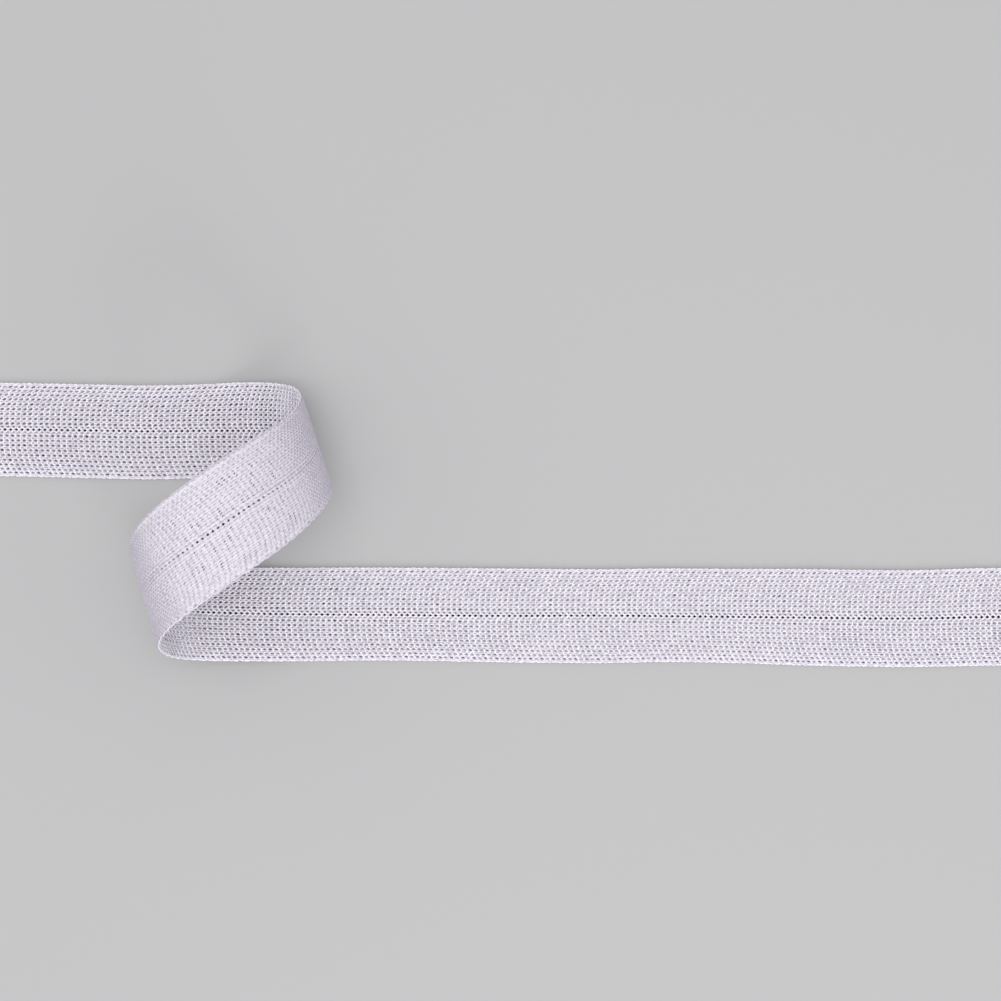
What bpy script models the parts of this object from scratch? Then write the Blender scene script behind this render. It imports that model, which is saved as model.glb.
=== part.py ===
"""A cut length of knitted fold-over trim that lies flat, turns over in one loose curl and runs on flat.

Metres, +Z up. The trim stands on z = 0 with the middle of its footprint at the origin.
Sizes below are in millimetres and angles in degrees. A place on the tape is given by two
distances: along it from the left cut end, and across it from the fold line, + to the back.
"""
import math

import bpy
import bmesh
from mathutils import Vector

MM = 0.001
NAME = "fold_over_trim"

# The tape, open: two halves of 16 mm beside the fold line
TAPE_LENGTH = 560.0
HALF_WIDTH = 16.0
THICKNESS = 1.2
FOLD_GROOVE = 0.15
FOLD_GROOVE_HALF = 1.1
SELVEDGE_THICKNESS = 0.9
SELVEDGE_DEPTH = 1.2
EDGE_ROUNDING = 0.25

# How it lies: the first run is flat, and the curl's axis is slanted, so the tape moves sideways in it
LEFT_RUN = 85.0
CURL_SLANT = 17.2
CURL_FLARE = 0.02

# The curl seen along its axis: its radius at each heading, 0 where it lifts and 180 over the top
CURL_RADII = (
    # heading, radius
    (0, 54),
    (22, 34),
    (50, 25),
    (80, 27),
    (115, 41),
    (150, 38),
    (180, 35),
    (215, 24),
    (262, 41),
    (300, 22),
    (335, 50),
    (360, 80),
)

# How the soft tape wanders: its fold line and its edges beside a straight middle line, + to the back
TAPE_LIE = (
    # along, fold line, back edge, front edge
    (0, 1.4, 17.3, -14.3),
    (25, 1.2, 16.9, -14.8),
    (45, 0.9, 16.5, -15.3),
    (60, 0.7, 16.2, -15.6),
    (75, 0.8, 16.5, -15.3),
    (95, 0.9, 17.4, -15.2),
    (115, 0.6, 17.1, -15.0),
    (135, 0.0, 15.9, -14.9),
    (150, -0.7, 15.3, -15.1),
    (165, -0.9, 16.1, -15.8),
    (180, -0.3, 16.5, -16.4),
    (195, -0.3, 16.4, -16.3),
    (212, -0.3, 16.1, -16.5),
    (235, 0.2, 16.0, -16.0),
    (270, 1.2, 16.2, -15.0),
    (310, 0.5, 16.2, -15.4),
    (345, 0.2, 16.3, -15.2),
    (380, -0.1, 16.0, -15.8),
    (415, 0.0, 15.7, -16.1),
    (437, -0.2, 16.0, -15.7),
    (465, -0.5, 15.8, -16.2),
    (485, -0.7, 15.8, -16.9),
    (520, -1.0, 15.4, -17.4),
    (545, -0.5, 16.1, -17.0),
    (560, -0.4, 16.1, -16.9),
)

# The mesh
FLAT_STEP = 8.0
CURL_STEP = 3.0
CURL_MARGIN = 7.5
HEADING_STEPS = 720
BEVEL_ANGLE = 60.0
SHARP_ANGLE = 40.0

# The knit's look
KNIT_COLOUR = (0.78, 0.76, 0.83, 1.0)
KNIT_ROUGHNESS = 0.9


def in_table(table, place, column):
    """The value of a column at a place, on a smooth curve through the table's rows."""
    rows = (table[0], *table, table[-1])
    for before, start, end, after in zip(rows, rows[1:], rows[2:], rows[3:]):
        if place <= end[0]:
            break
    span = end[0] - start[0]
    share = min(max((place - start[0]) / span, 0.0), 1.0)
    rest = 1.0 - share
    leaving = (end[column] - before[column]) * span / (end[0] - before[0])
    arriving = (after[column] - start[column]) * span / (after[0] - start[0])
    return (start[column] * (1.0 + 2.0 * share) * rest * rest + leaving * share * rest * rest
            + end[column] * (3.0 - 2.0 * share) * share * share - arriving * rest * share * share)


def curl_profile():
    """The curl's section as rows of distance along it, reach, height and heading."""
    turn = 2.0 * math.pi / HEADING_STEPS
    headings = [turn * (step + 0.5) for step in range(HEADING_STEPS)]
    radii = [in_table(CURL_RADII, math.degrees(heading), 1) for heading in headings]
    climbs = [radius * math.sin(heading) for radius, heading in zip(radii, headings)]
    rise = sum(climb for climb in climbs if climb > 0.0)
    fall = -sum(climb for climb in climbs if climb < 0.0)
    rows = [(0.0, 0.0, 0.0, 0.0)]
    for radius, heading in zip(radii, headings):
        # the way down is scaled so that it ends on the surface that the way up left
        step = turn * radius * (rise / fall if heading > math.pi else 1.0)
        length, reach, height, _ = rows[-1]
        rows.append((length + step, reach + step * math.cos(heading),
                     height + step * math.sin(heading), heading))
    return rows


PROFILE = curl_profile()
CURL_LENGTH, CURL_REACH = PROFILE[-1][:2]
SLANT = math.radians(CURL_SLANT)
REACH_AXIS = Vector((math.cos(SLANT), math.sin(SLANT), 0.0))
CURL_AXIS = Vector((math.sin(SLANT), -math.cos(SLANT), 0.0))
CURL_MIDDLE = 0.5 * CURL_LENGTH * math.tan(SLANT)


def on_profile(length):
    """Reach, height and heading at a distance along the curl's section."""
    if length <= 0.0:
        return length, 0.0, 0.0
    if length >= CURL_LENGTH:
        return CURL_REACH + length - CURL_LENGTH, 0.0, 0.0
    low, high = 0, HEADING_STEPS
    while high - low > 1:
        middle = (low + high) // 2
        if PROFILE[middle][0] <= length:
            low = middle
        else:
            high = middle
    start, end = PROFILE[low], PROFILE[high]
    share = (length - start[0]) / (end[0] - start[0])
    return tuple(start[i] + (end[i] - start[i]) * share for i in (1, 2, 3))


def place_on_path(along, across):
    """The point of the tape's underside at a place on the flat tape, in millimetres."""
    past_lift = along - LEFT_RUN
    section = past_lift * math.cos(SLANT) + across * math.sin(SLANT)
    axial = past_lift * math.sin(SLANT) - across * math.cos(SLANT)
    reach, height, heading = on_profile(section)
    reach += CURL_FLARE * (axial - CURL_MIDDLE) * math.sin(heading)
    point = REACH_AXIS * reach + CURL_AXIS * axial
    return Vector((point.x, point.y, height))


def stations():
    """Distances along the tape of the mesh's rows, close together in the curl."""
    curl_start = LEFT_RUN - CURL_MARGIN
    curl_end = LEFT_RUN + CURL_LENGTH / math.cos(SLANT) + CURL_MARGIN
    rows = []
    for start, end, step in ((0.0, curl_start, FLAT_STEP), (curl_start, curl_end, CURL_STEP),
                             (curl_end, TAPE_LENGTH, FLAT_STEP)):
        count = round((end - start) / step)
        rows += [start + (end - start) * i / count for i in range(count)]
    return rows + [TAPE_LENGTH]


def column_shares():
    """The mesh's columns as shares of a half's width: selvedges, groove and fold line."""
    groove = FOLD_GROOVE_HALF / HALF_WIDTH
    selvedge = 1.0 - SELVEDGE_DEPTH / HALF_WIDTH
    half = (groove, 0.5 * (groove + selvedge), selvedge, 1.0)
    return [-share for share in reversed(half)] + [0.0] + list(half)


def lay_on_path(shape, rows, columns):
    """Move a flat grid onto the tape's path and give back the fold line's and the selvedges' points."""
    fold_line, selvedges = [], []
    for vert in shape.verts:
        along = rows[round((vert.co.x + 0.5) * (len(rows) - 1))]
        share = columns[round((vert.co.y + 0.5) * (len(columns) - 1))]
        fold = in_table(TAPE_LIE, along, 1)
        edge = in_table(TAPE_LIE, along, 2 if share > 0.0 else 3)
        vert.co = place_on_path(along, fold + abs(share) * (edge - fold))
        if share == 0.0:
            fold_line.append(vert)
        elif abs(share) == 1.0:
            selvedges.append(vert)
    return fold_line, selvedges


def centre_footprint(mesh):
    """Move the sheet so that the middle of its footprint is at the origin."""
    for axis in (0, 1):
        values = [vert.co[axis] for vert in mesh.vertices]
        middle = 0.5 * (min(values) + max(values))
        for vert in mesh.vertices:
            vert.co[axis] -= middle


def make_sheet(name):
    """The tape's underside as one open sheet, with its thickness at each point as a vertex group."""
    rows, columns = stations(), column_shares()
    shape = bmesh.new()
    bmesh.ops.create_grid(shape, x_segments=len(rows) - 1, y_segments=len(columns) - 1, size=0.5)
    fold_line, selvedges = lay_on_path(shape, rows, columns)
    shape.normal_update()
    for vert in fold_line:
        vert.co += vert.normal * FOLD_GROOVE
    bmesh.ops.scale(shape, vec=(MM, MM, MM), verts=shape.verts)
    shape.verts.index_update()
    thin = {vert.index: 1.0 - 2.0 * FOLD_GROOVE / THICKNESS for vert in fold_line}
    thin.update((vert.index, SELVEDGE_THICKNESS / THICKNESS) for vert in selvedges)
    mesh = bpy.data.meshes.new(name)
    shape.to_mesh(mesh)
    shape.free()
    centre_footprint(mesh)
    sheet = bpy.data.objects.new(name, mesh)
    body = sheet.vertex_groups.new(name="thickness")
    for vert in mesh.vertices:
        body.add([vert.index], thin.get(vert.index, 1.0), "REPLACE")
    return sheet


def thicken(sheet):
    """Give the sheet its thickness upwards and round its edges a little."""
    wall = sheet.modifiers.new("thickness", "SOLIDIFY")
    wall.thickness = THICKNESS * MM
    wall.offset = 1.0
    wall.use_even_offset = False
    wall.vertex_group = sheet.vertex_groups[0].name
    rounding = sheet.modifiers.new("edges", "BEVEL")
    rounding.width = EDGE_ROUNDING * MM
    rounding.segments = 1
    rounding.limit_method = "ANGLE"
    rounding.angle_limit = math.radians(BEVEL_ANGLE)
    sheet.data.shade_smooth()
    sheet.data.set_sharp_from_angle(angle=math.radians(SHARP_ANGLE))


def knit_material():
    """Soft white knit with a cool tint."""
    material = bpy.data.materials.new("knit")
    material.use_nodes = True
    shader = material.node_tree.nodes["Principled BSDF"]
    shader.inputs["Base Color"].default_value = KNIT_COLOUR
    shader.inputs["Roughness"].default_value = KNIT_ROUGHNESS
    material.diffuse_color = KNIT_COLOUR
    return material


def main():
    for item in list(bpy.data.objects):
        bpy.data.objects.remove(item)
    parts = bpy.data.collections.new(NAME)
    bpy.context.scene.collection.children.link(parts)
    tape = make_sheet(NAME)
    thicken(tape)
    tape.data.materials.append(knit_material())
    parts.objects.link(tape)


main()
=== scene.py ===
"""Looks of the curled length of fold-over trim: its knit as real yarn, laid on the solid's own path.

The finished pieces are in metres, +Z up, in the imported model's frame. Until then sizes are in
millimetres. A place on the tape is given by its distance along it, from the left cut end, and
across it, + to the back, and by its height above the side that lies on the table.
Courses are the knit's steps along the tape. Rows are its lines of holes: 0 is the fold line,
9 the last row of holes of a half, 10 its edge.
"""
import math
from dataclasses import dataclass

import bpy
import bmesh
import numpy as np
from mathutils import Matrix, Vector


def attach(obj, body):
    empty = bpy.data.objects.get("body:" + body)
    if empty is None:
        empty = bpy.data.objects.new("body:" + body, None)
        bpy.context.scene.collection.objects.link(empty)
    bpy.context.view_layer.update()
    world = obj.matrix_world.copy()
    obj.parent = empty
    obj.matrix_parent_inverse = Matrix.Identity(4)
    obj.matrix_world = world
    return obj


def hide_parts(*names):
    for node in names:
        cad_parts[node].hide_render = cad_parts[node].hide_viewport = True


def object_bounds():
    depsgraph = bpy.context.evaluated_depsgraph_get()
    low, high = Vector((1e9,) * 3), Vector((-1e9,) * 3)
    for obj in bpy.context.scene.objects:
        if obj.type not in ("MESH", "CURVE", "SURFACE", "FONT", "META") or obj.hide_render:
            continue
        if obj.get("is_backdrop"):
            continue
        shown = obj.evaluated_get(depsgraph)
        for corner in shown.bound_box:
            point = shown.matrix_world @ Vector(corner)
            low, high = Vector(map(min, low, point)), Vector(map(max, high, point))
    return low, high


MM = 0.001
SEED = 7

# The tape, open
TAPE_LENGTH = 560.0
HALF_WIDTH = 16.0

# How it lies, as in the part's source
LEFT_RUN = 85.0
CURL_SLANT = 17.2
CURL_FLARE = 0.02
HEADING_STEPS = 720
EDGE_SAMPLES = 2000

# The curl seen along its axis: its radius at each heading, 0 where it lifts and 180 over the top
CURL_RADII = (
    # heading, radius
    (0, 54),
    (22, 34),
    (50, 25),
    (80, 27),
    (115, 41),
    (150, 38),
    (180, 35),
    (215, 24),
    (262, 41),
    (300, 22),
    (335, 50),
    (360, 80),
)

# How the soft tape wanders: its fold line and its edges beside a straight middle line, + to the back
TAPE_LIE = (
    # along, fold line, back edge, front edge
    (0, 1.4, 17.3, -14.3),
    (25, 1.2, 16.9, -14.8),
    (45, 0.9, 16.5, -15.3),
    (60, 0.7, 16.2, -15.6),
    (75, 0.8, 16.5, -15.3),
    (95, 0.9, 17.4, -15.2),
    (115, 0.6, 17.1, -15.0),
    (135, 0.0, 15.9, -14.9),
    (150, -0.7, 15.3, -15.1),
    (165, -0.9, 16.1, -15.8),
    (180, -0.3, 16.5, -16.4),
    (195, -0.3, 16.4, -16.3),
    (212, -0.3, 16.1, -16.5),
    (235, 0.2, 16.0, -16.0),
    (270, 1.2, 16.2, -15.0),
    (310, 0.5, 16.2, -15.4),
    (345, 0.2, 16.3, -15.2),
    (380, -0.1, 16.0, -15.8),
    (415, 0.0, 15.7, -16.1),
    (437, -0.2, 16.0, -15.7),
    (465, -0.5, 15.8, -16.2),
    (485, -0.7, 15.8, -16.9),
    (520, -1.0, 15.4, -17.4),
    (545, -0.5, 16.1, -17.0),
    (560, -0.4, 16.1, -16.9),
)

# The knit: how long a course is along the tape, and where one of them starts
COURSE_LENGTHS = (
    # along, course
    (0, 1.944),
    (95, 1.944),
    (110, 1.938),
    (290, 1.938),
    (300, 1.958),
    (345, 1.935),
    (430, 1.905),
    (490, 1.855),
    (520, 1.900),
    (560, 1.920),
)
FIRST_COURSE_AT = 30.98
COURSE_MARGIN = 10.0
COURSE_SAMPLES = 5801

# Where the rows lie, as shares of a half's width
ROW_SHARES = (0.0, 0.133, 0.232, 0.336, 0.440, 0.547, 0.655, 0.752, 0.843, 0.920, 1.0)
EDGE_ROW = len(ROW_SHARES) - 1
ROWS = np.arange(EDGE_ROW + 1)

# Courses bow forwards from the fold line to the edges: by how many courses, before and after two places
BOW_STEP = (0.30, 0.18)
BOW_RISE = (2.1, 2.0)
BOW_RUNS = (110.0, 300.0)

# How dark the holes are, for they close where the tape turns over, and how wide
HOLE_SHADES = (
    # along, holes, fold line's holes, width
    (0, 0.92, 1.0, 1.12),
    (76, 0.92, 1.0, 1.12),
    (90, 0.95, 1.0, 1.1),
    (106, 1.05, 1.0, 1.0),
    (114, 0.1, 0.3, 1.0),
    (150, 0.1, 0.3, 1.0),
    (163, 0.45, 0.7, 1.0),
    (175, 0.65, 1.0, 1.0),
    (190, 0.65, 1.25, 1.0),
    (205, 0.65, 1.0, 1.0),
    (216, 0.5, 0.7, 1.0),
    (224, 0.15, 0.2, 1.0),
    (266, 0.15, 0.2, 1.0),
    (280, 0.8, 1.0, 1.0),
    (292, 0.94, 1.0, 1.0),
    (320, 0.9, 1.0, 0.98),
    (345, 0.84, 1.0, 0.97),
    (410, 0.76, 1.05, 0.97),
    (560, 0.76, 1.2, 0.95),
)


def in_table(table, places, column):
    """Values of a column at places, on a smooth curve through the table's rows."""
    rows = np.array(table, float)
    spots, values = rows[:, 0], rows[:, column]
    last = len(rows) - 1
    places = np.clip(places, spots[0], spots[-1])
    start = np.clip(np.searchsorted(spots, places) - 1, 0, last - 1)
    end = start + 1
    before, after = np.maximum(start - 1, 0), np.minimum(end + 1, last)
    span = spots[end] - spots[start]
    share = (places - spots[start]) / span
    rest = 1.0 - share
    leaving = (values[end] - values[before]) * span / (spots[end] - spots[before])
    arriving = (values[after] - values[start]) * span / (spots[after] - spots[start])
    return (values[start] * (1.0 + 2.0 * share) * rest ** 2 + leaving * share * rest ** 2
            + values[end] * (3.0 - 2.0 * share) * share ** 2 - arriving * rest * share ** 2)


class Path:
    """The way the tape lies: flat, once round the slanted curl, and flat again."""

    def __init__(self):
        turn = 2.0 * math.pi / HEADING_STEPS
        headings = turn * (np.arange(HEADING_STEPS) + 0.5)
        radii = in_table(CURL_RADII, np.degrees(headings), 1)
        climbs = radii * np.sin(headings)
        fall_scale = climbs[climbs > 0.0].sum() / -climbs[climbs < 0.0].sum()
        steps = turn * radii * np.where(headings > math.pi, fall_scale, 1.0)
        self.lengths = np.append(0.0, np.cumsum(steps))
        self.reaches = np.append(0.0, np.cumsum(steps * np.cos(headings)))
        self.heights = np.append(0.0, np.cumsum(steps * np.sin(headings)))
        self.headings = np.append(0.0, headings)
        self.curl = self.lengths[-1]
        self.slant = math.radians(CURL_SLANT)
        self.middle = 0.5 * self.curl * math.tan(self.slant)
        self.centre = np.zeros(3)
        alongs = np.linspace(0.0, TAPE_LENGTH, EDGE_SAMPLES)
        edges = [self.place(alongs, in_table(TAPE_LIE, alongs, column), 0.0) for column in (2, 3)]
        edges = np.concatenate(edges)
        self.centre[:2] = 0.5 * (edges.min(axis=0) + edges.max(axis=0))[:2]

    def place(self, along, across, height):
        """Points of the tape, in millimetres in the model's frame."""
        cosine, sine = math.cos(self.slant), math.sin(self.slant)
        past_lift = along - LEFT_RUN
        section = past_lift * cosine + across * sine
        axial = past_lift * sine - across * cosine
        in_curl = (section > 0.0) & (section < self.curl)
        heading = np.where(in_curl, np.interp(section, self.lengths, self.headings), 0.0)
        reach = np.interp(section, self.lengths, self.reaches)
        reach += np.minimum(section, 0.0) + np.maximum(section - self.curl, 0.0)
        reach += (CURL_FLARE * (axial - self.middle) - height) * np.sin(heading)
        rise = np.interp(section, self.lengths, self.heights) + height * np.cos(heading)
        points = np.stack([cosine * reach + sine * axial, sine * reach - cosine * axial, rise], axis=-1)
        return points - self.centre


class Knit:
    """Where courses and rows lie on the flat tape."""

    def __init__(self):
        self.alongs = np.linspace(-COURSE_MARGIN, TAPE_LENGTH + COURSE_MARGIN, COURSE_SAMPLES)
        steps = np.gradient(self.alongs) / in_table(COURSE_LENGTHS, self.alongs, 1)
        courses = np.cumsum(steps)
        self.courses = courses - np.interp(FIRST_COURSE_AT, self.alongs, courses)
        self.first = math.ceil(self.course_at(0.0))
        self.last = math.floor(self.course_at(TAPE_LENGTH))

    def course_at(self, along):
        """The course of the fold line at a distance along the tape."""
        return np.interp(along, self.alongs, self.courses)

    def bow(self, along, row):
        """How many courses further along a row's holes lie than the fold line's."""
        share = np.interp(np.abs(row), ROWS, ROW_SHARES)
        run = np.clip((along - BOW_RUNS[0]) / (BOW_RUNS[1] - BOW_RUNS[0]), 0.0, 1.0)
        step = BOW_STEP[0] + (BOW_STEP[1] - BOW_STEP[0]) * run
        rise = BOW_RISE[0] + (BOW_RISE[1] - BOW_RISE[0]) * run
        return step * np.minimum(share / ROW_SHARES[1], 1.0) + rise * share ** 3

    def across(self, along, row):
        """Where a row lies across the tape."""
        share = np.interp(np.abs(row), ROWS, ROW_SHARES)
        fold = in_table(TAPE_LIE, along, 1)
        edge = np.where(row > 0.0, in_table(TAPE_LIE, along, 2), in_table(TAPE_LIE, along, 3))
        return fold + share * (edge - fold)

    def stitch(self, along, across):
        """Course and row of a place on the flat tape."""
        fold = in_table(TAPE_LIE, along, 1)
        edge = np.where(across > fold, in_table(TAPE_LIE, along, 2), in_table(TAPE_LIE, along, 3))
        row = np.sign(across - fold) * np.interp((across - fold) / (edge - fold), ROW_SHARES, ROWS)
        return self.course_at(along) - self.bow(along, row), row

    def flat(self, course, row):
        """Distances along and across the tape of a place given in courses and rows."""
        unbowed = np.interp(course, self.courses, self.alongs)
        along = np.interp(course + self.bow(unbowed, row), self.courses, self.alongs)
        return along, self.across(along, row)


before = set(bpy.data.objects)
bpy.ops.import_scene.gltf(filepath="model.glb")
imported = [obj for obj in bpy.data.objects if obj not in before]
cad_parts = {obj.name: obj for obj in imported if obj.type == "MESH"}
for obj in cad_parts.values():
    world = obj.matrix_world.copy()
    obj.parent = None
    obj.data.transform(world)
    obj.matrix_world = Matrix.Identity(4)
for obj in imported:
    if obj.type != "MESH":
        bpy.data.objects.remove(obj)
CAD_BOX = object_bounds()
NODE = "fold_over_trim"
PATH = Path()
KNIT = Knit()
CHANCE = np.random.default_rng(SEED)


# Yarn

# All yarns wander a little, are drawn past the cut ends and then cut off just inside them
WANDER = 0.05
SPARE_COURSES = 4
CUT_MARGIN = 0.3
MERGE_DISTANCE = 0.0001 * MM
SHARP_ANGLE = math.radians(120.0)

# The weft: between the rows of holes it lags and lies lower, and it turns round in the edges' cords
WEFT_RADIUS = 0.27
WEFT_FLATNESS = 0.95
WEFT_HEIGHT = 0.86
WEFT_WAVE = 0.06
WEFT_LAG = 0.16
WEFT_LEAN = 0.02
WEFT_FIRST_ROW = 1.25
WEFT_LAST_ROW = 9.5
WEFT_STEP = 0.25
TURN_ROWS = (9.85, 9.95, 9.85)
TURN_COURSES = (0.7, 1.0, 1.3)

# The cords along the edges, which bulge once in two courses
EDGE_RADIUS = 0.42
EDGE_FLATNESS = 0.8
EDGE_HEIGHT = 0.58
EDGE_CORD_ROW = 9.69
EDGE_SCALLOP = 0.13
EDGE_SWELL = 0.11
EDGE_STEP = 0.25

# The ground between the two faces
GROUND_HEIGHT = 0.56
GROUND_STEP = 2.0

# A yarn that runs alone is thicker, and some others follow the rows' distance and the holes' width
SINGLE_THICKNESS = 1.3
USUAL_PITCH = 1.6
PITCH_RANGE = (1.3, 1.75)
THINNING_RANGE = (-0.1, 0.9)

# How uneven the holes are: each for itself, with its neighbours, in patches, in short runs and at the edges
LOOSE_SPREAD = 0.10
LOOSE_ALONE = 0.94
LOOSE_ACROSS = 0.2
LOOSE_ALONG = 0.15
LOOSE_PATCH = 0.08
PATCH_ROWS, PATCH_COURSES = 4, 9
LOOSE_RUN = 0.8
RARE_RUN = 1.6
WIDEST_RUN = 0.55
FOLD_LOOSENESS = 0.5
EDGE_EYE = 0.62

# A chain stitch, once a course: how far its two yarns are apart, how deep they lie and how thick they are
FACE_STITCH = (
    # share of a course, spread, depth, thickness
    (0.0, 1.0, 1.0, 1.0),
    (0.25, 0.5, 0.2, 1.0),
    (0.5, 0.0, -1.0, 1.0),
    (0.75, 0.5, 0.2, 1.0),
)
UNDER_STITCH = (
    # share of a course, spread, depth, thickness
    (0.0, 1.0, -1.0, 0.84),
    (0.25, 0.5, 0.2, 0.95),
    (0.5, 0.0, 1.0, 1.08),
    (0.75, 0.4, 0.2, 1.0),
)

# How far the wefts reach forward in the wales beside the fold line, in courses, and how thick they are
FOLD_WEFT = (
    # row, reach, thickness
    (0.0, 1.0, 1.3),
    (0.36, 0.5, 1.25),
    (0.6, 0.13, 1.1),
    (0.8, 0.03, 1.0),
    (1.0, 0.0, 1.0),
)


def strand_points(along, across, height, thickness):
    """A yarn's points with small uneven shifts, in millimetres, and its thickness beside the usual one."""
    shifts = CHANCE.normal(0.0, WANDER, (2, len(along)))
    return np.stack([along + shifts[0], across + shifts[1], height, thickness], axis=-1)


def patches(rows, courses):
    """Slow chance variation over rows and courses."""
    coarse = CHANCE.normal(0.0, 1.0, (rows // PATCH_ROWS + 2, courses // PATCH_COURSES + 2))
    spots = np.linspace(0.0, coarse.shape[1] - 1.0, courses)
    coarse = np.array([np.interp(spots, np.arange(coarse.shape[1]), line) for line in coarse])
    spots = np.linspace(0.0, len(coarse) - 1.0, rows)
    return np.array([np.interp(spots, np.arange(len(coarse)), line) for line in coarse.T]).T


def looseness():
    """How much wider than usual the hole is on each row and course."""
    courses = np.arange(KNIT.first - SPARE_COURSES, KNIT.last + SPARE_COURSES + 2)
    single = CHANCE.normal(0.0, 1.0, (2 * EDGE_ROW + 3, len(courses) + 2))
    across = single[2:, 1:-1] + single[:-2, 1:-1]
    along = single[1:-1, 2:] + single[1:-1, :-2]
    loose = LOOSE_SPREAD * (LOOSE_ALONE * single[1:-1, 1:-1] + LOOSE_ACROSS * across + LOOSE_ALONG * along)
    loose += LOOSE_PATCH * patches(*loose.shape)
    # now and then a few neighbours of one course are wide together
    single = CHANCE.normal(0.0, 1.0, (2 * EDGE_ROW + 3, len(courses)))
    runs = (single[2:] + single[1:-1] + single[:-2]) / math.sqrt(3.0)
    loose += np.clip(LOOSE_RUN * (runs - RARE_RUN), 0.0, WIDEST_RUN)
    # beside the edges every second hole is wide
    loose[-2] += EDGE_EYE * (courses % 2)
    loose[1] += EDGE_EYE * (1 - courses % 2)
    return loose


LOOSENESS = looseness()


@dataclass
class Chains:
    """The chain stitches of one face: on each row two yarns, open at a hole and closed between."""

    stitch: tuple
    rows: np.ndarray

    # height of a yarn's middle, how far a stitch moves it up and down, and half the yarn's width
    height: float
    wave: float
    radius: float

    # how far a yarn is from its row where the two are closed and open, as a share of the rows' distance
    closed: float
    opened: float

    # the same beside the fold line, in millimetres, and how much deeper and thicker the yarns are there
    fold_closed: float
    fold_opened: float
    fold_sink: float
    fold_thickness: float

    # how many courses ahead of its row the yarn nearer the back runs, and the one nearer the edge
    slant: float
    lean: float = 0.0

    # height of the yarn beside its width, and the rows that have one yarn alone
    flatness: float = 1.0
    single_rows: tuple = ()

    # how much the thickness follows the rows' distance, and how much thinner the yarn is at a wide hole
    spread: float = 0.0
    thinning: float = 0.0

    def strand(self, row, side):
        """The yarn on one side of a row, or alone on the row where the side is 0."""
        ahead = side * (self.lean * np.sign(row) + self.slant * (row != 0))
        whole = np.arange(KNIT.first - SPARE_COURSES, KNIT.last + 1)
        share, swell, depth, thickness = np.tile(np.array(self.stitch), (len(whole), 1)).T
        course = np.repeat(whole, len(self.stitch)) + share
        # between two rows the yarns follow the holes of the row nearer the fold line
        loose = LOOSENESS[EDGE_ROW + int(row), np.round(course).astype(int) - KNIT.first + SPARE_COURSES]
        along, across = KNIT.flat(course + ahead, np.full(len(course), float(row)))
        height = self.height - self.wave * depth
        thickness = thickness * (1.0 - self.thinning * swell * np.clip(loose, *THINNING_RANGE))
        if side == 0:
            offset = 0.0
            height = np.full(len(course), self.height)
            thickness = np.sqrt(thickness) * SINGLE_THICKNESS
        elif row == 0:
            swell = swell * in_table(HOLE_SHADES, along, 2) * (1.0 + FOLD_LOOSENESS * loose)
            offset = self.fold_closed + (self.fold_opened - self.fold_closed) * swell
            height = height - self.fold_sink
            thickness = thickness * self.fold_thickness
        else:
            beside = KNIT.flat(course + ahead, np.full(len(course), float(row + side)))[1]
            pitch = np.clip(np.abs(beside - across), *PITCH_RANGE)
            offset = pitch * (self.closed + (self.opened - self.closed) * swell * (1.0 + loose))
            thickness = thickness * (pitch / USUAL_PITCH) ** self.spread
        return strand_points(along, across + side * offset, height, thickness)

    def half(self, side):
        """All strands of one half of the tape, from the fold line to the edge."""
        rows = [(side * row, beside) for row in self.rows for beside in (-1, 1)]
        rows += [(side * row, 0) for row in self.single_rows]
        return [self.strand(row, beside) for row, beside in [(0, side), *rows]]


FACE = Chains(
    FACE_STITCH, rows=np.arange(1, EDGE_ROW), height=0.82, wave=0.05, radius=0.26, closed=0.16, opened=0.48,
    fold_closed=0.24, fold_opened=0.84, fold_sink=0.08, fold_thickness=1.4, slant=0.03, lean=0.04)
# the chains of the side on the table lie between the rows of holes
UNDER = Chains(
    UNDER_STITCH, rows=np.arange(1.5, EDGE_ROW - 1), height=0.30, wave=0.05, radius=0.44, closed=0.21,
    opened=0.29, fold_closed=0.44, fold_opened=0.68, fold_sink=-0.04, fold_thickness=1.15, slant=-0.12,
    flatness=0.44, single_rows=(0.71, 9.25), spread=1.0, thinning=0.55)


def weft_strand():
    """The one yarn that crosses the tape between the courses of holes and turns round at its edges."""
    fold_rows, fold_reach, fold_thickness = zip(*FOLD_WEFT)
    half = np.append(fold_rows, np.arange(WEFT_FIRST_ROW, WEFT_LAST_ROW + WEFT_STEP / 2.0, WEFT_STEP))
    rows = np.append(-half[:0:-1], half)
    reach = -WEFT_LAG * np.sin(math.pi * rows) ** 2 + WEFT_LEAN * np.sin(2.0 * math.pi * np.abs(rows))
    reach = np.where(np.abs(rows) < 1.0, np.interp(np.abs(rows), fold_rows, fold_reach), reach)
    places = []
    way = 1.0
    for course in range(KNIT.first - SPARE_COURSES, KNIT.last + 1):
        across = list(zip(course + 0.5 + reach, rows))
        turn = [(course + ahead, way * row) for ahead, row in zip(TURN_COURSES, TURN_ROWS)]
        places += across[::int(way)] + turn
        way = -way
    course, row = np.array(places).T
    along, across = KNIT.flat(course, row)
    height = WEFT_HEIGHT + WEFT_WAVE * np.cos(2.0 * math.pi * row)
    return strand_points(along, across, height, np.interp(np.abs(row), fold_rows, fold_thickness))


def edge_strand(side):
    """The cord along an edge, which bulges where the weft turns round in it."""
    course = np.arange(KNIT.first - SPARE_COURSES, KNIT.last + 1, EDGE_STEP)
    along, across = KNIT.flat(course, np.full(len(course), side * EDGE_CORD_ROW))
    bulge = np.cos(math.pi * (course - 0.5 - 0.5 * side))
    across = across + EDGE_SCALLOP * side * bulge
    return strand_points(along, across, np.full(len(course), EDGE_HEIGHT), 1.0 + EDGE_SWELL * bulge)


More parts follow.
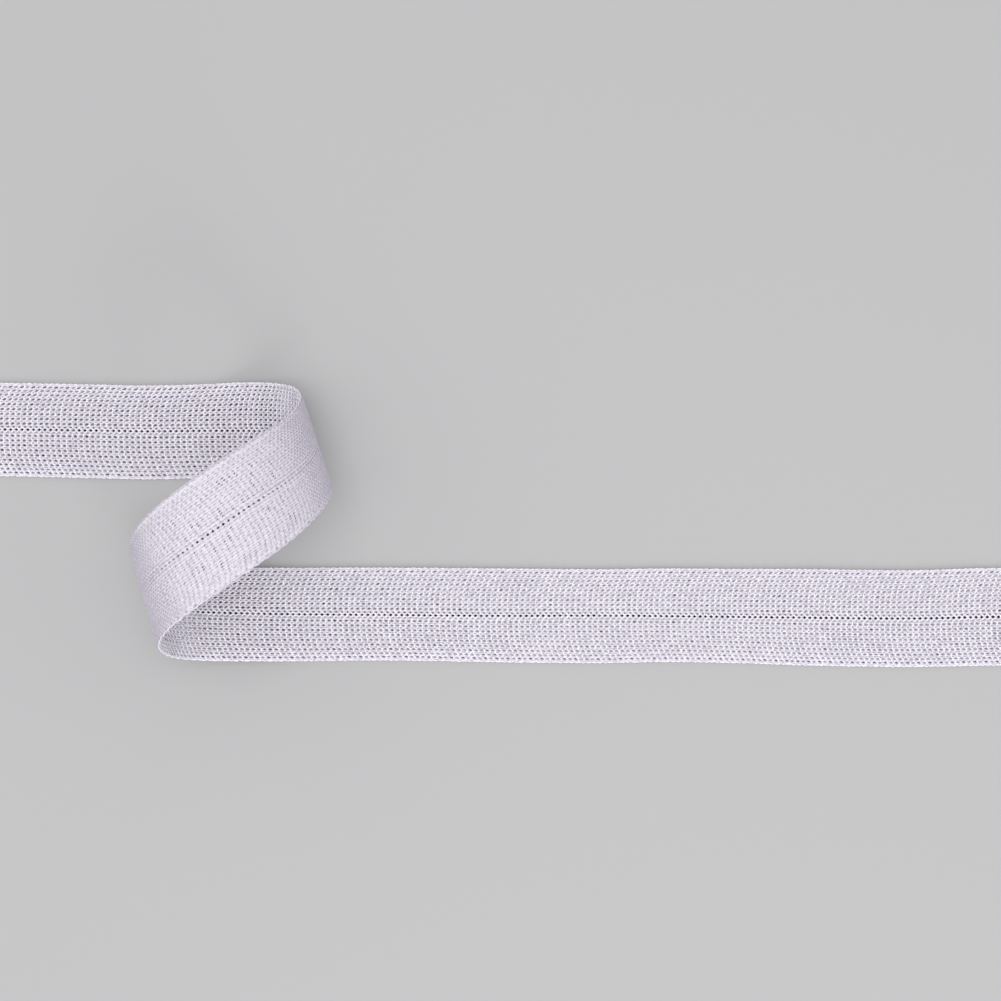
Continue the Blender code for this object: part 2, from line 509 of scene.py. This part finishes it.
def cut_to_length(strands):
    """The parts of strands that lie between the tape's two cut ends."""
    runs = []
    for points in strands:
        kept = (points[:, 0] > CUT_MARGIN) & (points[:, 0] < TAPE_LENGTH - CUT_MARGIN)
        borders = np.flatnonzero(np.diff(kept)) + 1
        runs += [run for run, keep in zip(np.split(points, borders), np.split(kept, borders))
                 if keep[0] and len(run) > 2]
    return runs


def yarn_piece(name, strands, radius, flatness, material):
    """Strands of yarn, given as points on the flat tape, as one mesh on the path."""
    curve = bpy.data.curves.new(name, "CURVE")
    curve.dimensions = "3D"
    curve.twist_mode = "Z_UP"
    curve.bevel_depth = radius
    curve.bevel_resolution = 0
    curve.use_fill_caps = True
    for points in cut_to_length(strands):
        spline = curve.splines.new("POLY")
        spline.points.add(len(points) - 1)
        places = points * (1.0, 1.0, 1.0 / flatness, 0.0)
        spline.points.foreach_set("co", places.astype(np.float32).ravel())
        spline.points.foreach_set("radius", points[:, 3].astype(np.float32))
    holder = bpy.data.objects.new(name + "_flat", curve)
    bpy.context.scene.collection.objects.link(holder)
    graph = bpy.context.evaluated_depsgraph_get()
    mesh = bpy.data.meshes.new_from_object(holder.evaluated_get(graph))
    bpy.data.objects.remove(holder)
    bpy.data.curves.remove(curve)
    mesh.name = name
    return finish_piece(name, mesh, flatness, material)


def finish_piece(name, mesh, flatness, material):
    """Lay a mesh of the flat tape on the path, in metres, and keep its place on the tape as attributes."""
    flat = np.empty(len(mesh.vertices) * 3, np.float32)
    mesh.vertices.foreach_get("co", flat)
    flat = flat.reshape(-1, 3).astype(float) * (1.0, 1.0, flatness)
    points = PATH.place(flat[:, 0], flat[:, 1], flat[:, 2]) * MM
    mesh.vertices.foreach_set("co", points.astype(np.float32).ravel())
    course, row = KNIT.stitch(flat[:, 0], flat[:, 1])
    shades = [in_table(HOLE_SHADES, flat[:, 0], column) for column in (1, 2, 3)]
    stitch = np.column_stack([course, row, np.zeros(len(row))])
    for key, columns in (("tape", flat), ("stitch", stitch), ("shade", np.column_stack(shades))):
        attribute = mesh.attributes.new(key, "FLOAT_VECTOR", "POINT")
        attribute.data.foreach_set("vector", columns.astype(np.float32).ravel())
    shape = bmesh.new()
    shape.from_mesh(mesh)
    bmesh.ops.remove_doubles(shape, verts=shape.verts, dist=MERGE_DISTANCE)
    shape.to_mesh(mesh)
    shape.free()
    mesh.shade_smooth()
    mesh.set_sharp_from_angle(angle=SHARP_ANGLE)
    mesh.materials.clear()
    mesh.materials.append(material)
    piece = bpy.data.objects.new(name, mesh)
    bpy.context.scene.collection.objects.link(piece)
    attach(piece, "root")
    return piece


def ground_piece(material):
    """The thin ground of the knit between its two faces, which shows in the holes with its painted shade.
    """
    shape = bmesh.new()
    steps = round(TAPE_LENGTH / GROUND_STEP)
    bmesh.ops.create_grid(shape, x_segments=steps, y_segments=4 * EDGE_ROW, size=0.5)
    mesh = bpy.data.meshes.new("knit_ground")
    shape.to_mesh(mesh)
    shape.free()
    grid = np.empty(len(mesh.vertices) * 3, np.float32)
    mesh.vertices.foreach_get("co", grid)
    grid = grid.reshape(-1, 3).astype(float)
    along = (grid[:, 0] + 0.5) * TAPE_LENGTH
    row = np.clip(grid[:, 1] * 2.0 * EDGE_ROW, -EDGE_CORD_ROW, EDGE_CORD_ROW)
    flat = np.stack([along, KNIT.across(along, row), np.full(len(row), GROUND_HEIGHT)], axis=-1)
    mesh.vertices.foreach_set("co", flat.astype(np.float32).ravel())
    return finish_piece("knit_ground", mesh, 1.0, material)


# Materials

class Value:
    """A number that varies over a surface, so that its maths reads as Python."""

    def __init__(self, nodes, socket):
        self.nodes, self.socket = nodes, socket

    def maths(self, operation, *others):
        """This number with others through a Math node."""
        return self.nodes.maths(operation, self, *others)

    def __add__(self, other):
        return self.maths("ADD", other)

    def __sub__(self, other):
        return self.maths("SUBTRACT", other)

    def __rsub__(self, other):
        return self.nodes.maths("SUBTRACT", other, self)

    def __mul__(self, other):
        return self.maths("MULTIPLY", other)

    def __truediv__(self, other):
        return self.maths("DIVIDE", other)

    def __pow__(self, other):
        return self.maths("POWER", other)

    def __abs__(self):
        return self.maths("ABSOLUTE")

    def __round__(self):
        return self.maths("ROUND")

    def __lt__(self, other):
        return self.maths("LESS_THAN", other)

    __radd__, __rmul__ = __add__, __mul__


class Nodes:
    """The nodes of one material."""

    def __init__(self, name):
        self.material = bpy.data.materials.new(name)
        self.material.use_nodes = True
        self.tree = self.material.node_tree
        self.shader = self.tree.nodes["Principled BSDF"]

    def feed(self, node, sockets):
        """Give a node's sockets, by name or number, their values or links."""
        for slot, given in sockets.items():
            if isinstance(given, Value):
                self.tree.links.new(given.socket, node.inputs[slot])
            else:
                node.inputs[slot].default_value = given

    def add(self, kind, settings, sockets, output=0):
        """Add a node with its settings and the values or links of its sockets, and give back one output."""
        node = self.tree.nodes.new(kind)
        for key, setting in settings.items():
            setattr(node, key, setting)
        self.feed(node, sockets)
        return Value(self, node.outputs[output])

    def maths(self, operation, *numbers):
        return self.add("ShaderNodeMath", {"operation": operation}, dict(enumerate(numbers)))

    def attribute(self, name):
        return self.add("ShaderNodeAttribute", {"attribute_name": name}, {}, "Vector")

    def vector(self, *axes):
        return self.add("ShaderNodeCombineXYZ", {}, dict(enumerate(axes)))

    def axes(self, vector):
        """The three numbers of a vector."""
        split = self.add("ShaderNodeSeparateXYZ", {}, {"Vector": vector}).socket.node
        return [Value(self, output) for output in split.outputs]

    def noise(self, vector, scale, detail):
        sockets = {"Vector": vector, "Scale": scale, "Detail": detail}
        return self.add("ShaderNodeTexNoise", {}, sockets, "Fac")

    def chance(self, *axes):
        """An even random number for each whole step of its axes."""
        settings = {"noise_dimensions": "2D"}
        return self.add("ShaderNodeTexWhiteNoise", settings, {"Vector": self.vector(*axes)}, "Value")

    def fade(self, value, start, end, low=0.0, high=1.0):
        """A smooth step from low to high as the value goes from start to end."""
        settings = {"interpolation_type": "SMOOTHSTEP"}
        sockets = {"Value": value, "From Min": start, "From Max": end, "To Min": low, "To Max": high}
        return self.add("ShaderNodeMapRange", settings, sockets)

    def mix(self, share, first, second):
        """A colour between two colours."""
        return self.add("ShaderNodeMix", {"data_type": "RGBA"}, {0: share, 6: first, 7: second}, 2)

    def bump(self, height, distance, strength):
        sockets = {"Height": height, "Distance": distance, "Strength": strength}
        return self.add("ShaderNodeBump", {}, sockets, "Normal")

    def finish(self, colour, roughness, **others):
        """Give the shader its colour and roughness, and give back the material."""
        self.feed(self.shader, {"Base Color": colour, "Roughness": roughness, **others})
        return self.material


# Colours and roughness
YARN_WHITE = (0.90, 0.88, 0.92, 1.0)
YARN_GREY = (0.46, 0.43, 0.51, 1.0)
# the side on the table is the same yarn, in a darker white and grey as painted shade
UNDER_SHADED_WHITE = (0.635, 0.615, 0.655, 1.0)
UNDER_SHADED_GREY = (0.38, 0.35, 0.43, 1.0)
EDGE_WHITE = (0.82, 0.80, 0.86, 1.0)
GROUND_WHITE = (0.72, 0.70, 0.76, 1.0)
HOLE_SHADE = (0.06, 0.045, 0.065, 1.0)
FOLD_HOLE_SHADE = (0.006, 0.005, 0.008, 1.0)
FLOOR_GREY = (0.37, 0.37, 0.37, 1.0)
YARN_ROUGHNESS = 0.8
MATT_ROUGHNESS = 0.9

# The yarn is grey in slow patches, by its ply and its twist, and by its fibres, which are a fine relief too
YARN_GREYS = (
    # scale, detail, fade as two places and the strengths at them
    (0.35, 3.0, (0.45, 0.75, 0.0, 0.15)),
    (1.5, 2.0, (0.42, 0.68, 0.0, 0.35)),
    (2.6, 1.0, (0.45, 0.62, 0.0, 0.45)),
)
FIBRE_SCALE = 9.0
FIBRE_DETAIL = 3.0
FIBRE_GREY = (0.5, 0.8, 0.0, 0.2)
FIBRE_DEPTH = 0.05 * MM
FIBRE_RELIEF = 0.6

# The height in the knit where a face's yarns are grey with painted shade, deep in their creases, and where
# they are white
FACE_CREASES = (0.79, 1.07)
UNDER_CREASES = (0.44, 0.16)
EDGE_CREASES = (0.3, 0.5)
CREASE_SHADE = 0.9

# How far apart the marks on the knit repeat, along the tape and across it
COURSE = 1.93
ROW = 1.6

# A mark is an oval with a soft border, given by half its length and half its height
OVAL_BORDER = (1.3, 0.6)

# The holes' painted shade on the ground leans in the back half, has a fainter tail, differs by chance and
# is paler near the edges
HOLE = (0.48, 0.31)
HOLE_SHEAR = (1.5, 4.0, 0.06, 0.34)
HOLE_TAIL_AT = 0.30
HOLE_TAIL = 0.5
HOLE_LUCK = (0.0, 1.0, 0.75, 1.0)
HOLE_RARE = (0.93, 1.0, 0.0, 0.3)
HOLE_OUTWARD = (6.5, 9.0, 1.0, 0.7)
HOLE_DEEP = (1.0, 1.3, 0.0, 0.8)
HOLE_EYE = 1.5

# The fold line's holes, painted near-black shade on the ground, in a wider wale
FOLD_WALE = 2.0
FOLD_HOLE = (0.55, 0.38)
FOLD_LUCK = (0.0, 0.4, 0.75, 1.0)

# Fainter gaps, painted as shade on the ground: where they lie after a hole, in courses and rows, their size
# and their strength
FOLD_GAP = (0.36, 0.42)
FOLD_GAP_SIZE = (0.34, 0.22)
FOLD_GAP_SIDES = (-0.2, 0.2, 0.6, 1.2)
GAPS = (
    # place, size, strength
    ((-0.32, 0.5), (0.45, 0.25), 0.45),
    ((0.0, 0.5), (0.45, 0.2), 0.5),
)

# Side on the table: painted shade in grey spots on its chains, and between them where the tape turns over
UNDER_BLOB = (0.50, 0.34)
BLOB_OPEN = (0.2, 0.65, 0.85, 0.28)
TURN_BLOB_OPEN = (0.2, 0.5, 0.8, 0.0)

# Side on the table: small dashes of painted shade on each half row, by chance in runs across, where the
# tape lies straight
UNDER_DASH = (0.42, 0.21)
UNDER_DASH_AT = 0.25
UNDER_DASH_SLOPE = 0.27
DASH_CHANCE_ALONG = 3.7
DASH_CHANCE_ACROSS = 0.6
DASH_LUCK = (0.56, 0.70, 0.14, 0.9)
DASH_OPEN = (0.4, 0.65)
DASH_OUTWARD = (6.0, 8.5, 1.0, 0.4)
DASH_FIRST_ROW = 0.9
UNDER_EYE = (0.40, 0.22)
UNDER_EYE_ROW = 9.35


def past_whole(value):
    """How far a value is past the nearest whole number."""
    return value - round(value)


def oval(nodes, ahead, aside, size):
    """1 inside an oval and 0 outside, with a soft border, from distances to its middle in millimetres."""
    reach = (ahead / size[0]) ** 2.0 + (aside / size[1]) ** 2.0
    return nodes.fade(reach, *OVAL_BORDER)


def yarn_greys_and_crease_shade(nodes, creases):
    """How grey white knitting yarn is, uneven, with painted shade deep in its creases, and the relief of
    its fibres.
    """
    place = nodes.attribute("tape")
    _, _, height = nodes.axes(place)
    fibres = nodes.noise(place, FIBRE_SCALE, FIBRE_DETAIL)
    # painted shade: the yarn turns grey deep in its creases, where shade falls; the rest is its own uneven
    # tone
    grey = nodes.fade(height, *creases, CREASE_SHADE, 0.0) + nodes.fade(fibres, *FIBRE_GREY)
    for scale, detail, fading in YARN_GREYS:
        grey = grey + nodes.fade(nodes.noise(place, scale, detail), *fading)
    return grey, nodes.bump(fibres, FIBRE_DEPTH, FIBRE_RELIEF)


def yarn_material(name, white, creases):
    """White knitting yarn of the upper face or of the edges."""
    nodes = Nodes(name)
    grey, relief = yarn_greys_and_crease_shade(nodes, creases)
    return nodes.finish(nodes.mix(grey, white, YARN_GREY), YARN_ROUGHNESS, Normal=relief)


def under_material():
    """Yarn of the side that lies on the table, in a darker white as painted shade, with painted shade in
    grey spots on its chains and in dashes between them.
    """
    nodes = Nodes("under_yarn")
    grey, relief = yarn_greys_and_crease_shade(nodes, UNDER_CREASES)
    course, row, _ = nodes.axes(nodes.attribute("stitch"))
    openness, _, _ = nodes.axes(nodes.attribute("shade"))
    outward = abs(row)
    hole_course = round(course)
    ahead = past_whole(course) * COURSE
    # painted shade: grey spots on the chains near the holes, and between them at the turns
    blobs = oval(nodes, ahead, past_whole(row - 0.5) * ROW, UNDER_BLOB) * nodes.fade(openness, *BLOB_OPEN)
    blobs_at_turns = oval(nodes, past_whole(course - 0.5) * COURSE, past_whole(row) * ROW, UNDER_BLOB)
    blobs = blobs + blobs_at_turns * nodes.fade(openness, *TURN_BLOB_OPEN)
    aside = past_whole(row * 2.0) * (0.5 * ROW) + ahead * UNDER_DASH_SLOPE
    dash = oval(nodes, ahead - UNDER_DASH_AT, aside, UNDER_DASH) * (1.0 - (outward < DASH_FIRST_ROW))
    luck = nodes.vector(hole_course * DASH_CHANCE_ALONG, row * DASH_CHANCE_ACROSS)
    luck = nodes.noise(luck, 1.0, 0.0)
    for value, fading in ((openness, DASH_OPEN), (luck, DASH_LUCK), (outward, DASH_OUTWARD)):
        dash = dash * nodes.fade(value, *fading)
    # painted shade of a small hole beside the front edge, every second course
    eye = oval(nodes, ahead, (outward - UNDER_EYE_ROW) * ROW, UNDER_EYE) * (row < 0.0)
    eye = eye * abs(past_whole((hole_course + 1.0) * 0.5))
    colour = nodes.mix(grey + blobs, UNDER_SHADED_WHITE, UNDER_SHADED_GREY)
    return nodes.finish(nodes.mix(dash + eye, colour, HOLE_SHADE), YARN_ROUGHNESS, Normal=relief)


def gap_marks(nodes, course, row):
    """Painted shade of the faint gaps in the ground, beside the fold line and between the rows."""
    outward = abs(row)
    ahead = past_whole(course - FOLD_GAP[0]) * COURSE
    marks = oval(nodes, ahead, (outward - FOLD_GAP[1]) * FOLD_WALE, FOLD_GAP_SIZE)
    marks = marks * nodes.fade(row, *FOLD_GAP_SIDES)
    in_rows = 1.0 - (outward < 1.0)
    for (after_hole, above_hole), size, strength in GAPS:
        ahead = past_whole(course - after_hole) * COURSE
        gap = oval(nodes, ahead, past_whole(outward - above_hole) * ROW, size)
        marks = marks + gap * in_rows * strength
    return marks


def ground_material():
    """The knit's ground: white between its holes, with painted shade in them, nearly black in the fold
    line's.
    """
    nodes = Nodes("knit_ground")
    course, row, _ = nodes.axes(nodes.attribute("stitch"))
    shade, fold_shade, width = nodes.axes(nodes.attribute("shade"))
    outward = abs(row)
    hole_course = round(course)
    luck = nodes.chance(hole_course, round(row))
    on_fold = outward < 0.5
    in_half = (outward < EDGE_ROW - 0.5) - on_fold
    # beside the edges every second hole has darker painted shade
    eye = 1.0 - (outward < EDGE_ROW - 1.5)
    eye = eye * abs(past_whole((hole_course + (row < 0.0)) * 0.5)) * HOLE_EYE
    strength = nodes.fade(luck, *HOLE_LUCK) * nodes.fade(outward, *HOLE_OUTWARD)
    strength = strength + eye + nodes.fade(luck, *HOLE_RARE)
    ahead = past_whole(course) * COURSE
    aside = past_whole(outward) * ROW - ahead * nodes.fade(row, *HOLE_SHEAR)
    hole = oval(nodes, ahead / width, aside / width, HOLE)
    tail = oval(nodes, (ahead - HOLE_TAIL_AT) / width, aside / width, HOLE) * HOLE_TAIL
    hole = (hole + (1.0 - hole) * tail) * in_half * strength * shade
    fold_hole = oval(nodes, ahead, outward * FOLD_WALE, FOLD_HOLE) * on_fold
    fold_hole = fold_hole * nodes.fade(luck, *FOLD_LUCK) * fold_shade
    colour = nodes.mix(gap_marks(nodes, course, row) * shade, GROUND_WHITE, HOLE_SHADE)
    colour = nodes.mix(hole, colour, HOLE_SHADE)
    colour = nodes.mix(hole * nodes.fade(shade, *HOLE_DEEP), colour, FOLD_HOLE_SHADE)
    colour = nodes.mix(fold_hole, colour, FOLD_HOLE_SHADE)
    return nodes.finish(colour, MATT_ROUGHNESS)


# Pieces

def make_tape():
    """The tape: its yarns, and the ground between its faces."""
    yarn = yarn_material("face_yarn", YARN_WHITE, FACE_CREASES)
    under_yarn = under_material()
    edge_yarn = yarn_material("edge_yarn", EDGE_WHITE, EDGE_CREASES)
    for name, face, material in (("face_chains", FACE, yarn), ("under_chains", UNDER, under_yarn)):
        for side, half in ((1, "back"), (-1, "front")):
            strands = face.half(side)
            yarn_piece(name + "_" + half, strands, face.radius, face.flatness, material)
    yarn_piece("wefts", [weft_strand()], WEFT_RADIUS, WEFT_FLATNESS, yarn)
    edges = [edge_strand(side) for side in (1, -1)]
    yarn_piece("edge_cords", edges, EDGE_RADIUS, EDGE_FLATNESS, edge_yarn)
    ground = ground_piece(ground_material())
    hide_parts(NODE)
    2.0 * HALF_WIDTH * MM
    TAPE_LENGTH * MM


# From the floor's middle to its border, in metres
FLOOR_REACH = 30.0


def make_floor():
    """The plain pale floor under the tape."""
    shape = bmesh.new()
    bmesh.ops.create_grid(shape, x_segments=1, y_segments=1, size=FLOOR_REACH)
    mesh = bpy.data.meshes.new("floor")
    shape.to_mesh(mesh)
    shape.free()
    mesh.materials.append(Nodes("pale_floor").finish(FLOOR_GREY, MATT_ROUGHNESS))
    floor = bpy.data.objects.new("floor", mesh)
    bpy.context.scene.collection.objects.link(floor)
    floor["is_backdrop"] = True


# Camera and light

# The camera looks straight down on the tape, as in the photo; only its clipping is in metres
CAMERA_X = 0.5
CAMERA_Y = 8.2
CAMERA_HEIGHT = 614.0
VIEW_WIDTH = 341.3
SENSOR = 36.0
CLIP = (0.01, 20.0)

# Square lights, aimed at the middle of the tape's footprint; places and sizes in metres
LIGHTS = (
    # name, place, size, power
    ("key", (-0.08, 0.0, 1.3), 0.7, 6.6),
    ("fill", (0.48, -1.44, 0.8), 0.8, 10.5),
)
STUDIO_WHITE = (0.985, 0.975, 1.0, 1.0)
STUDIO_STRENGTH = 1.0


def make_camera():
    """The camera, as wide as the photo's view of the tape."""
    data = bpy.data.cameras.new("camera")
    data.sensor_width = SENSOR
    data.sensor_fit = "HORIZONTAL"
    data.lens = SENSOR * CAMERA_HEIGHT / VIEW_WIDTH
    data.clip_start, data.clip_end = CLIP
    camera = bpy.data.objects.new("camera", data)
    camera.location = (CAMERA_X * MM, CAMERA_Y * MM, CAMERA_HEIGHT * MM)
    bpy.context.scene.collection.objects.link(camera)
    bpy.context.scene.camera = camera


def make_light():
    """The two square lights, and even white light from all round."""
    for name, place, size, power in LIGHTS:
        data = bpy.data.lights.new(name, "AREA")
        data.shape = "SQUARE"
        data.size = size
        data.energy = power
        light = bpy.data.objects.new(name, data)
        light.location = place
        light.rotation_euler = (-Vector(place)).to_track_quat("-Z", "Y").to_euler()
        bpy.context.scene.collection.objects.link(light)
    world = bpy.data.worlds.new("studio")
    world.use_nodes = True
    background = world.node_tree.nodes["Background"]
    background.inputs["Color"].default_value = STUDIO_WHITE
    background.inputs["Strength"].default_value = STUDIO_STRENGTH
    bpy.context.scene.world = world
    bpy.context.scene.view_settings.view_transform = "Standard"


make_camera()
make_tape()
make_floor()
make_light()
({"cad": [list(map(float, corner)) for corner in CAD_BOX],
           "visual": [list(map(float, corner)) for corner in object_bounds()]})
